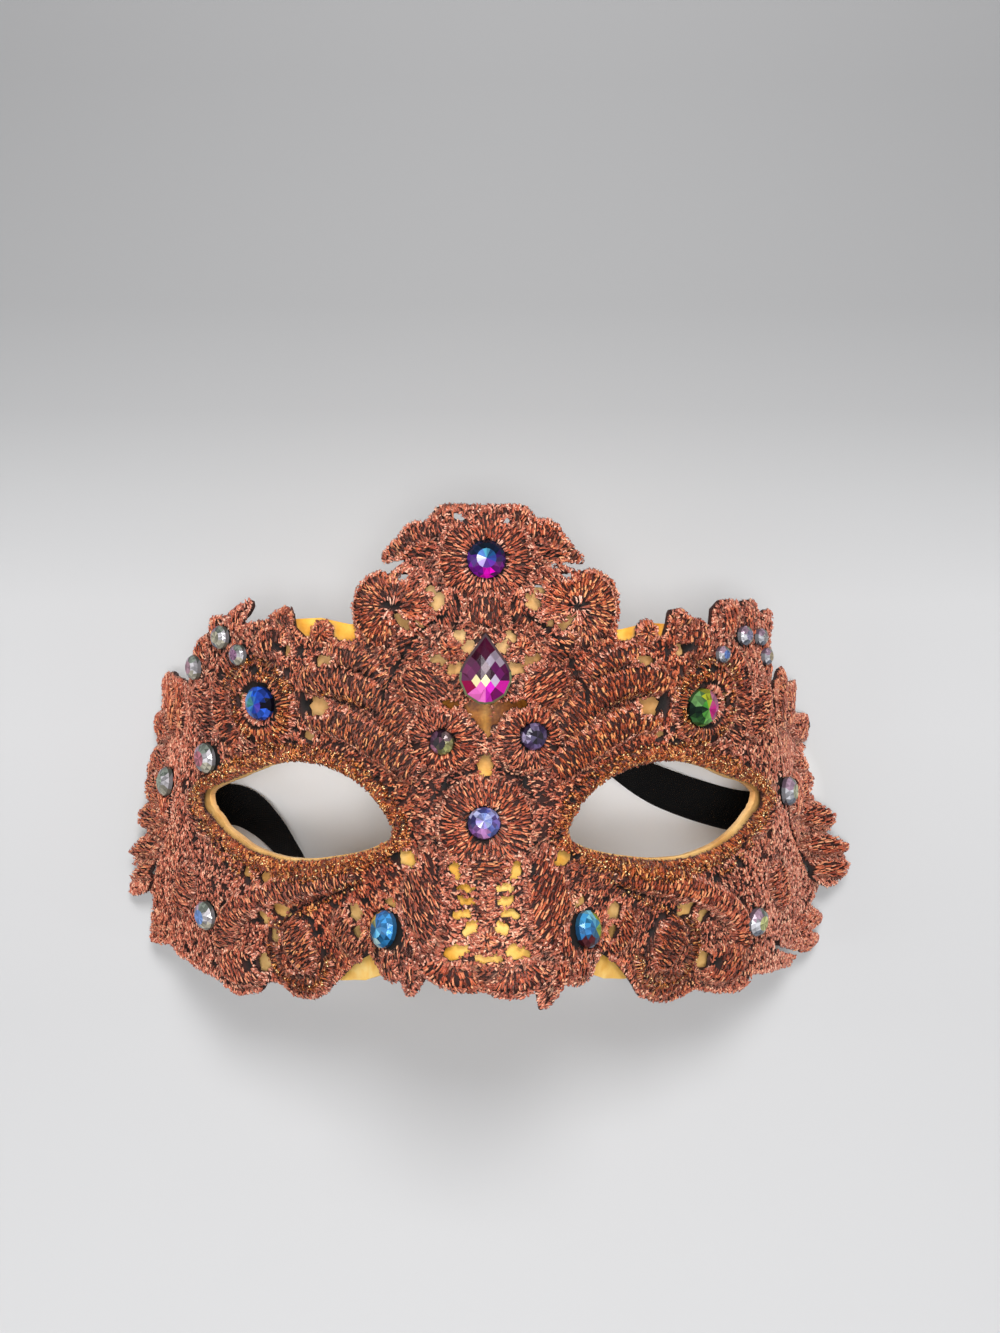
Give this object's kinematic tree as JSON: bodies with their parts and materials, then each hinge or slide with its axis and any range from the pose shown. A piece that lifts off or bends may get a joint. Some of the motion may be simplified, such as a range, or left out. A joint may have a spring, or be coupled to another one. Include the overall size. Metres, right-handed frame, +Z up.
{
  "type": "lace venetian mask",
  "caption": "Half mask for eyes and nose: a thin curved shell with two eye holes, dressed in raised lace and faceted stones, with an elastic strap.",
  "frame": {"origin": "on the surface the mask lies on, under the middle of its outline", "axes": "+Z up, out of the mask's face; +Y towards the crest; +X to the viewer's right"},
  "size_m": [0.1694, 0.106, 0.0827],
  "materials": {
    "gold_paint": "gold paint over papier-mache, soft sheen, slightly brushed",
    "rose_lace": "stiff guipure lace of rose-copper thread with copper glitter",
    "violet_glass": "faceted, foil-backed, violet to magenta",
    "blue_glass": "faceted, foil-backed, blue with green and gold lights",
    "clear_glass": "faceted, foil-backed, pale with rainbow lights",
    "black_elastic": "matt woven elastic"
  },
  "bodies": {
    "root": {"mask_base": "gold_paint", "front_lace": "rose_lace", "left_wing_lace": "rose_lace", "right_wing_lace": "rose_lace", "crest_stone": "violet_glass", "bridge_stone": "clear_glass", "left_flower_stone": "violet_glass", "right_flower_stone": "violet_glass", "left_temple_stone": "blue_glass", "right_temple_stone": "blue_glass", "left_cheek_stone": "blue_glass", "right_cheek_stone": "blue_glass", "left_side_stone_1": "clear_glass", "left_side_stone_2": "clear_glass", "left_side_stone_3": "clear_glass", "left_side_stone_4": "clear_glass", "left_side_stone_5": "clear_glass", "left_side_stone_6": "clear_glass", "right_side_stone_1": "clear_glass", "right_side_stone_2": "clear_glass", "right_side_stone_3": "clear_glass", "right_side_stone_4": "clear_glass", "right_side_stone_5": "clear_glass", "right_side_stone_6": "clear_glass", "teardrop_stone": "violet_glass", "strap": "black_elastic"}
  },
  "joints": []
}
